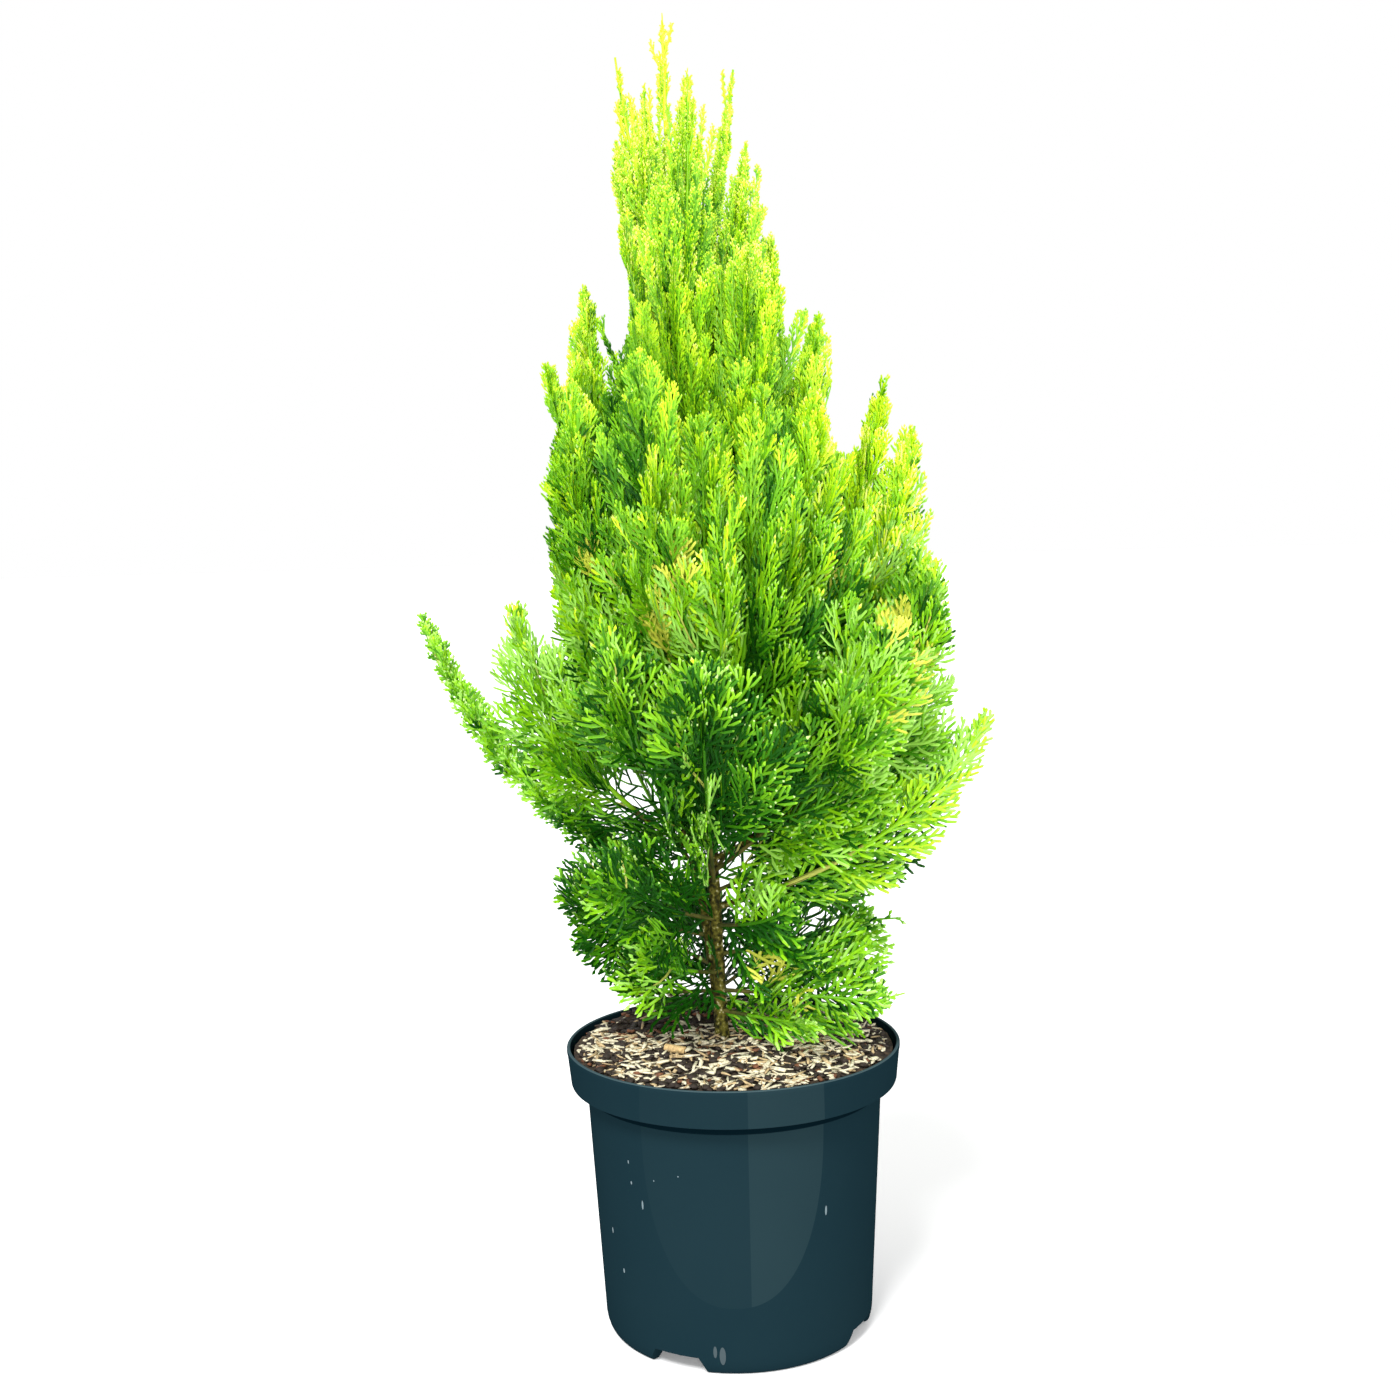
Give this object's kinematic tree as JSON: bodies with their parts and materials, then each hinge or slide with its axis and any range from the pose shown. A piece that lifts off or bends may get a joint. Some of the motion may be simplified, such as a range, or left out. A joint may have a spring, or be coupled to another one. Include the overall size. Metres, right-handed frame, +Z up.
{
  "type": "potted elegantissima oriental arborvitae",
  "caption": "Young upright conifer with a leaning trunk, a second stem, ascending boughs and flat lime-green sprays, growing in soil in a round collared nursery pot.",
  "frame": {"origin": "centre of the pot's flat underside", "axes": "+Z up along the plant, -Y towards the front, +X to the right as seen from the front"},
  "size_m": [0.4832, 0.3321, 1.074],
  "materials": {
    "pot": "satin",
    "soil": "matte",
    "bark": "matte",
    "foliage": "matte"
  },
  "bodies": {
    "root": {"bough_front_centre": "bark", "bough_left_inner": "bark", "bough_left_tail": "bark", "bough_right_edge": "bark", "bough_right_flank": "bark", "bough_right_front": "bark", "bough_right_high": "bark", "bough_right_tail": "bark", "foliage_back_centre": "foliage", "foliage_back_column": "foliage", "foliage_back_crest": "foliage", "foliage_back_low_left": "foliage", "foliage_back_low_right": "foliage", "foliage_back_skirt": "foliage", "foliage_front_centre": "foliage", "foliage_front_column": "foliage", "foliage_front_crest": "foliage", "foliage_front_left": "foliage", "foliage_front_low": "foliage", "foliage_front_low_left": "foliage", "foliage_front_low_right": "foliage", "foliage_front_skirt": "foliage", "foliage_inner_back_skirt": "foliage", "foliage_inner_front": "foliage", "foliage_inner_left_skirt": "foliage", "foliage_inner_right_skirt": "foliage", "foliage_leader": "foliage", "foliage_left_back": "foliage", "foliage_left_back_column": "foliage", "foliage_left_back_skirt": "foliage", "foliage_left_column": "foliage", "foliage_left_crest": "foliage", "foliage_left_edge": "foliage", "foliage_left_front": "foliage", "foliage_left_front_skirt": "foliage", "foliage_left_inner": "foliage", "foliage_left_leader": "foliage", "foliage_left_low_skirt": "foliage", "foliage_left_skirt": "foliage", "foliage_left_spire": "foliage", "foliage_left_tail": "foliage", "foliage_right_back": "foliage", "foliage_right_back_column": "foliage", "foliage_right_column": "foliage", "foliage_right_edge": "foliage", "foliage_right_flank": "foliage", "foliage_right_front": "foliage", "foliage_right_front_column": "foliage", "foliage_right_front_skirt": "foliage", "foliage_right_high": "foliage", "foliage_right_leader": "foliage", "foliage_right_low": "foliage", "foliage_right_shoulder": "foliage", "foliage_right_skirt": "foliage", "foliage_right_spire": "foliage", "foliage_right_tail": "foliage", "left_stem": "bark", "pot": "pot", "soil": "soil", "trunk": "bark"}
  },
  "joints": []
}
